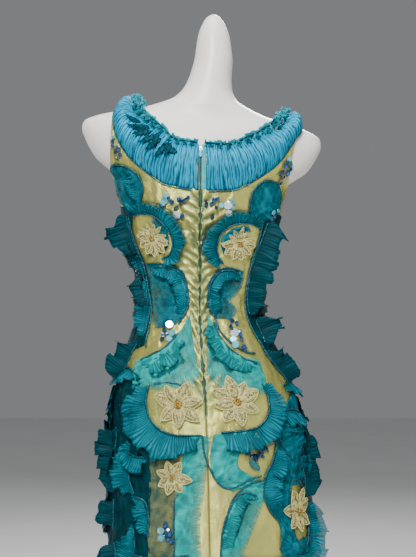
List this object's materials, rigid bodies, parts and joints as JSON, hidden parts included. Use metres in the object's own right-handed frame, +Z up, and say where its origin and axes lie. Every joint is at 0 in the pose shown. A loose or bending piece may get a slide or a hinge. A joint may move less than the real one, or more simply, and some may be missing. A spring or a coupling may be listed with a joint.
{
  "type": "prom dress on dress form",
  "caption": "Sleeveless gold satin prom dress with a pleated teal collar, curled organza frills and lace flowers, worn by a limbless dress form on a round base.",
  "frame": {"origin": "centre of the underside of the base plate, on the floor", "axes": "+Z up along the pole; the front of the dress faces -Y, the zip at its back faces +Y, and the wearer's left is +X"},
  "size_m": [0.6825, 0.6178, 1.6893],
  "materials": {
    "collar_pleats": "narrow pleats of teal organza, matt with a soft sheen",
    "flower_lace": "ivory and gold beaded lace",
    "form_white": "smooth satin white shell",
    "gold_satin": "champagne gold satin with soft highlights",
    "placket_organza": "light teal organza strip",
    "pull_enamel": "blue enamel on metal",
    "stand_steel": "brushed steel",
    "teal_organza": "pleated sheer teal organza",
    "zip_steel": "polished zip slider",
    "zip_tape": "grey teal zip tape with its closed teeth"
  },
  "bodies": {
    "dress": {"collar_back_left": "collar_pleats", "collar_back_right": "collar_pleats", "collar_front": "collar_pleats", "flower_front_bust_left": "flower_lace", "flower_front_bust_right": "flower_lace", "flower_front_hip_left": "flower_lace", "flower_front_hip_right": "flower_lace", "flower_front_thigh_left": "flower_lace", "flower_front_thigh_right": "flower_lace", "flower_seat_left": "flower_lace", "flower_seat_right": "flower_lace", "flower_shoulder_left": "flower_lace", "flower_shoulder_right": "flower_lace", "flower_thigh_left": "flower_lace", "flower_thigh_right": "flower_lace", "form_base": "stand_steel", "form_pole": "stand_steel", "form_torso": "form_white", "frill_armhole_left": "teal_organza", "frill_back_curl_left": "teal_organza", "frill_back_curl_right": "teal_organza", "frill_flower_curl_left": "teal_organza", "frill_flower_curl_right": "teal_organza", "frill_front_bust_left": "teal_organza", "frill_front_bust_right": "teal_organza", "frill_front_hip_left": "teal_organza", "frill_front_hip_right": "teal_organza", "frill_front_waist_left": "teal_organza", "frill_front_waist_right": "teal_organza", "frill_hip_curl_left": "teal_organza", "frill_hip_curl_right": "teal_organza", "frill_hip_left_high": "teal_organza", "frill_hip_left_low": "teal_organza", "frill_hip_right_high": "teal_organza", "frill_hip_right_line": "teal_organza", "frill_hip_right_low": "teal_organza", "frill_low_left": "teal_organza", "frill_low_right": "teal_organza", "frill_seat_layer_left": "teal_organza", "frill_side_left_high": "teal_organza", "frill_side_left_low": "teal_organza", "frill_side_left_waist": "teal_organza", "frill_side_right_high": "teal_organza", "frill_side_right_low": "teal_organza", "frill_swirl_right": "teal_organza", "frill_thigh_curl_left": "teal_organza", "frill_thigh_left": "teal_organza", "frill_thigh_right": "teal_organza", "frill_waist_curl_left": "teal_organza", "frill_waist_curl_right": "teal_organza", "frill_waist_plume_right": "teal_organza", "neck_ruche": "collar_pleats", "panel_back_left": "gold_satin", "panel_back_right": "gold_satin", "panel_front": "gold_satin", "zip_chain": "zip_tape", "zip_placket": "placket_organza", "zip_slider": "zip_steel"},
    "pull_tab": {"zip_pull_tab": "pull_enamel"}
  },
  "joints": [
    {"name": "pull_tab_hinge", "type": "hinge", "parent": "dress", "child": "pull_tab", "pos_m": [0.01296, 0.09236, 1.42579], "axis": [0.9971, 0, 0.0763], "range_deg": [0, 150]}
  ]
}
